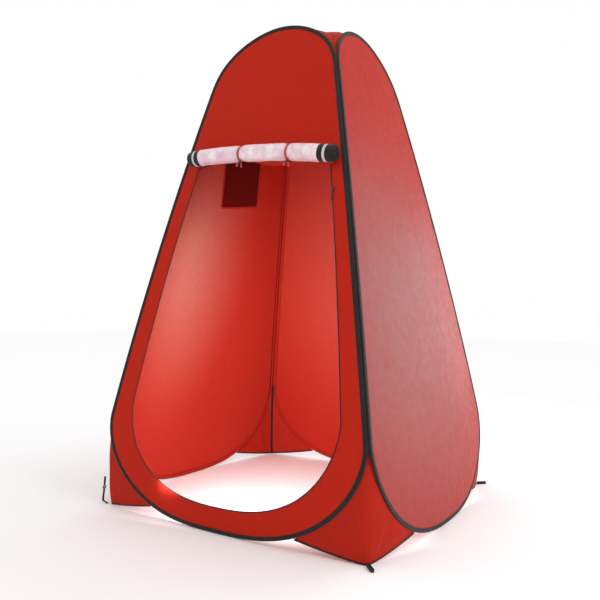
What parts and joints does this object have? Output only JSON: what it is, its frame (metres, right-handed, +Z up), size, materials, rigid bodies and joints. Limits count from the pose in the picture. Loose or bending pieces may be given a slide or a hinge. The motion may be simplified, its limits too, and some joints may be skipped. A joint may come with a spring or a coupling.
{
  "type": "privacy shower tent",
  "caption": "Tall square pop-up shower tent on sprung wire hoops, tapering to a small roof, with an arched doorway, a rolled-up door and cloth corner gussets.",
  "frame": {"origin": "on the ground below the middle of the roof, at the centre of the square footprint", "axes": "+Z up, the doorway faces -Y, +X to the right of someone facing the doorway"},
  "size_m": [1.2744, 1.2096, 1.9018],
  "materials": {
    "red_cloth": "satin coated polyester, brick red",
    "black_binding": "matte woven tape",
    "black_webbing": "matte woven webbing",
    "silver_coated_cloth": "crinkled silver-white coating",
    "red_tie": "matte ribbon",
    "hoop_wire": "drawn spring steel",
    "dark_netting": "fine matte mesh",
    "black_plastic": "moulded, slightly glossy"
  },
  "bodies": {
    "front": {"wire_front": "hoop_wire", "sleeve_front": "black_binding", "wall_front": "red_cloth", "gusset_front_a": "red_cloth", "hem_front_a": "black_binding", "gusset_front_b": "red_cloth", "hem_front_b": "black_binding", "roof": "red_cloth", "door_edge": "black_binding", "door_roll": "silver_coated_cloth", "door_roll_end_left": "black_binding", "door_roll_end_right": "black_binding", "door_tie_1": "red_tie", "door_tie_2": "red_tie", "door_toggle_1": "black_plastic", "door_toggle_2": "black_plastic", "stake_loop_front_right": "black_webbing", "tension_strap_upper": "black_webbing", "tension_buckle": "black_plastic", "tension_strap_lower": "black_webbing"},
    "right": {"wire_right": "hoop_wire", "sleeve_right": "black_binding", "wall_right": "red_cloth", "gusset_right_a": "red_cloth", "hem_right_a": "black_binding", "gusset_right_b": "red_cloth", "hem_right_b": "black_binding"},
    "left": {"wire_left": "hoop_wire", "sleeve_left": "black_binding", "wall_left": "red_cloth", "gusset_left_a": "red_cloth", "hem_left_a": "black_binding", "gusset_left_b": "red_cloth", "hem_left_b": "black_binding", "window_mesh": "dark_netting", "window_frame": "red_cloth"},
    "back": {"wire_back": "hoop_wire", "sleeve_back": "black_binding", "wall_back": "red_cloth", "gusset_back_a": "red_cloth", "hem_back_a": "black_binding", "gusset_back_b": "red_cloth", "hem_back_b": "black_binding", "stake_loop_back_left": "black_webbing", "stake_loop_back_right": "black_webbing"},
    "window_flap": {"window_flap": "red_cloth"},
    "zip_slider": {"zip_slider": "black_plastic"},
    "zip_puller": {"zip_puller": "black_plastic"}
  },
  "joints": [
    {"name": "fold", "type": "hinge", "parent": "front", "child": "right", "pos_m": [0.65333, -0.65333, 0], "axis": [0.1997, -0.1997, -0.9593], "range_deg": [0, 70], "stiffness_Nm_per_rad": 14, "deforming": ["gusset_front_a", "gusset_front_b", "hem_front_a", "hem_front_b", "gusset_right_a", "gusset_right_b", "hem_right_a", "hem_right_b", "gusset_back_a", "gusset_back_b", "hem_back_a", "hem_back_b", "gusset_left_a", "gusset_left_b", "hem_left_a", "hem_left_b", "roof"]},
    {"name": "fold_left", "type": "hinge", "parent": "front", "child": "left", "pos_m": [-0.63137, -0.63137, 0], "axis": [-0.1935, -0.1935, -0.9618], "range_deg": [0, 72.2]},
    {"name": "fold_back", "type": "hinge", "parent": "left", "child": "back", "pos_m": [-0.65333, 0.65333, 0], "axis": [0.1997, -0.1997, 0.9593], "range_deg": [0, 70.1]},
    {"name": "flap_lift", "type": "hinge", "parent": "left", "child": "window_flap", "pos_m": [-0.35557, 0.00626, 1.50165], "axis": [0.045, 0.9846, 0.169], "range_deg": [0, 110]},
    {"name": "zip_slide", "type": "slide", "parent": "front", "child": "zip_slider", "axis": [0.169, -0.1969, -0.9658], "range_m": [0, 0.414]},
    {"name": "puller_swing", "type": "hinge", "parent": "zip_slider", "child": "zip_puller", "pos_m": [0.3472, -0.4195, 1.182], "axis": [-1, 0, 0], "range_deg": [0, 120]}
  ],
  "couplings": [
    {"joint": "fold_left", "follows": "fold", "ratio": 1.03},
    {"joint": "fold_back", "follows": "fold", "ratio": 1}
  ]
}
